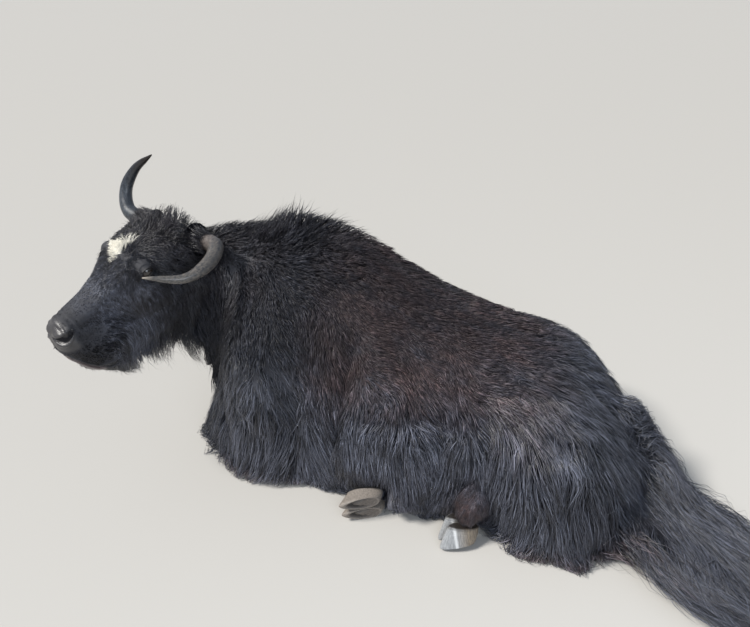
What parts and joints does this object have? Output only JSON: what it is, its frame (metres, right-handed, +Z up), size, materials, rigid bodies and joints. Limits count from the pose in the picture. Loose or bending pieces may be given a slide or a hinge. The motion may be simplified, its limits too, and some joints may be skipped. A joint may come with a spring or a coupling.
{
  "type": "life-size model of a lying yak",
  "caption": "Still, life-size model of a long-haired yak lying on its chest, head turned to its left, horned, with a long brush of a tail laid on the floor.",
  "frame": {"origin": "on the floor, under the centre of the whole animal's bounding box", "axes": "+Z up, +Y towards the tail along the trunk, +X towards the animal's left side; the head is at the -Y end, turned towards +X"},
  "size_m": [0.97, 2, 0.9099],
  "materials": {
    "coat": "long black hair with a cool sheen",
    "coat_brown": "sun-browned black hair",
    "muzzle_skin": "dark grey bare skin, slightly damp",
    "horn": "grey horn, mottled, polished towards the tip",
    "hoof": "worn pale grey-brown hoof horn",
    "eye": "wet dark brown eye"
  },
  "bodies": {
    "root": {"trunk_chest": "coat", "trunk_barrel": "coat_brown", "trunk_rump": "coat", "neck": "coat", "head": "coat", "muzzle": "muzzle_skin", "lower_jaw": "muzzle_skin", "eye_left": "eye", "eye_right": "eye", "ear_left": "coat", "ear_right": "coat", "horn_left": "horn", "horn_right": "horn", "foreleg_upper_left": "coat", "foreleg_upper_right": "coat", "foreleg_lower_left": "coat", "foreleg_lower_right": "coat", "thigh_left": "coat", "thigh_right": "coat", "hock_left": "coat", "hock_right": "coat", "foot_hind_left": "coat_brown", "foot_hind_right": "coat_brown", "hoof_hind_left_a": "hoof", "hoof_hind_left_b": "hoof", "hoof_hind_right_a": "hoof", "hoof_hind_right_b": "hoof", "hoof_fore_right_a": "hoof", "hoof_fore_right_b": "hoof", "tail_dock": "coat", "tail_brush_root": "coat", "tail_brush_tip": "coat"}
  },
  "joints": []
}
